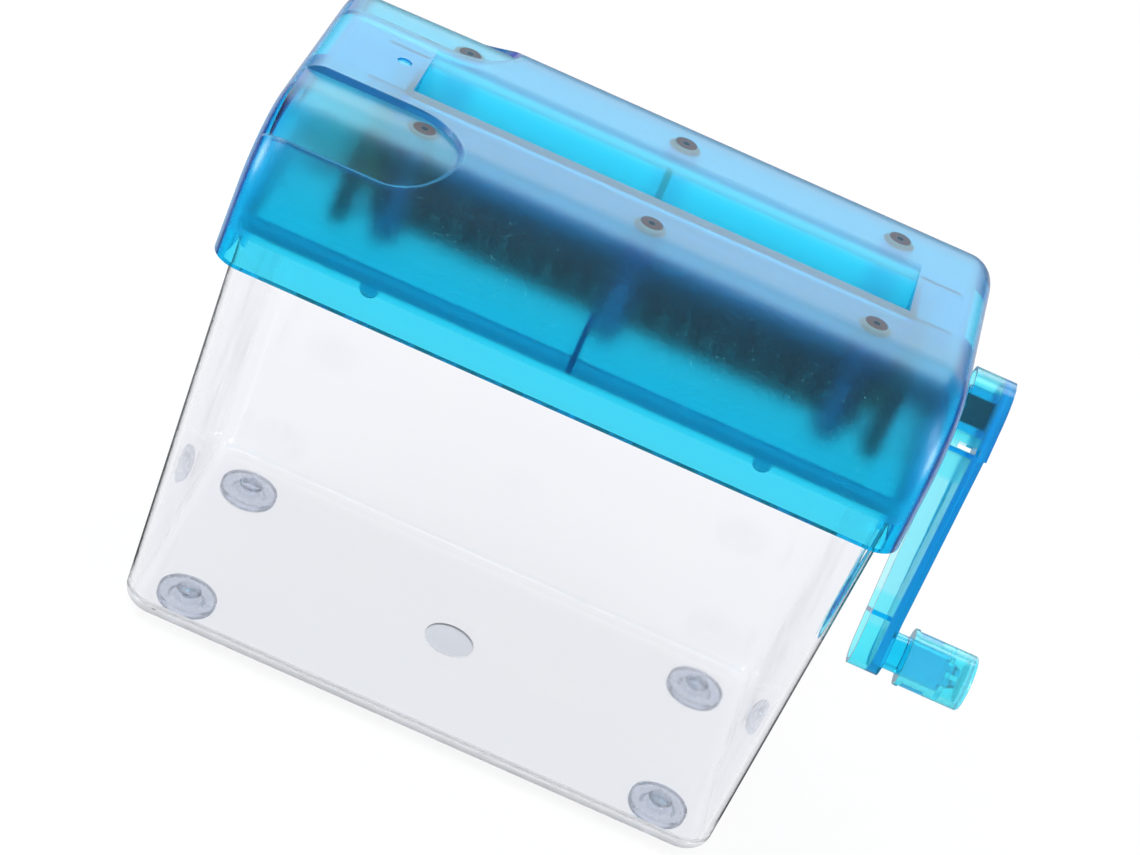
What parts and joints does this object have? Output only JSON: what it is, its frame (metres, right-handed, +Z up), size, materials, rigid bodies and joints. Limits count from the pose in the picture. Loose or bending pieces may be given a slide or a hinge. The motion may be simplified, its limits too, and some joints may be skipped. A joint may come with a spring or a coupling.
{
  "type": "hand-crank paper shredder",
  "caption": "Desktop hand-crank strip shredder: translucent blue head with a paper slot and geared cutter rollers, lifting off a clear bin on soft feet.",
  "frame": {"origin": "centre of the bin's footprint, on the surface that the feet stand on", "axes": "+Z up, -Y towards the front of the head, +X towards the crank"},
  "size_m": [0.1769, 0.086, 0.1287],
  "materials": {
    "clear_plastic": "clear moulded polystyrene with a faint lavender tint",
    "blue_plastic": "translucent blue, frosted on the top, shoulders and hopper, glossy on the skirt and ends",
    "inner_blue_plastic": "translucent blue, glossy",
    "crank_blue_plastic": "transparent light blue, glossy",
    "foot_rubber": "clear soft vinyl, smooth",
    "black_plastic": "black moulded plastic",
    "gear_nylon": "natural moulded nylon",
    "cutter_steel": "blackened hardened steel",
    "shaft_steel": "dark oiled steel",
    "screw_steel": "zinc plated",
    "bush_brass": "plain turned"
  },
  "bodies": {
    "bin": {"waste_bin": "clear_plastic", "foot_front_left": "foot_rubber", "foot_front_right": "foot_rubber", "foot_rear_left": "foot_rubber", "foot_rear_right": "foot_rubber"},
    "head": {"top_cover": "blue_plastic", "lower_frame": "inner_blue_plastic", "cover_screws": "screw_steel", "left_bearing_plate": "black_plastic", "right_bearing_plate": "black_plastic", "front_left_bush": "bush_brass", "front_right_bush": "bush_brass", "rear_left_bush": "bush_brass", "rear_right_bush": "bush_brass", "front_comb": "black_plastic", "rear_comb": "black_plastic"},
    "crank_roller": {"drive_shaft": "shaft_steel", "rear_cutter_discs": "cutter_steel", "rear_spacers": "black_plastic", "rear_gear": "gear_nylon", "rear_retaining_ring": "screw_steel", "crank_arm": "crank_blue_plastic"},
    "idler_roller": {"idler_shaft": "shaft_steel", "front_cutter_discs": "cutter_steel", "front_spacers": "black_plastic", "front_gear": "gear_nylon", "front_retaining_ring": "screw_steel"},
    "knob": {"crank_knob": "crank_blue_plastic"}
  },
  "joints": [
    {"name": "head_lift", "type": "slide", "parent": "bin", "child": "head", "axis": [0, 0, 1], "range_m": [0, 0.04]},
    {"name": "crank_turn", "type": "hinge", "parent": "head", "child": "crank_roller", "pos_m": [0, 0.0008, 0.1085], "axis": [1, 0, 0], "continuous": true},
    {"name": "idler_turn", "type": "hinge", "parent": "head", "child": "idler_roller", "pos_m": [0, -0.0088, 0.1085], "axis": [1, 0, 0], "continuous": true},
    {"name": "knob_turn", "type": "hinge", "parent": "crank_roller", "child": "knob", "pos_m": [0.09, -0.0253, 0.06329], "axis": [1, 0, 0], "continuous": true}
  ],
  "couplings": [
    {"joint": "idler_turn", "follows": "crank_turn", "ratio": -1}
  ]
}
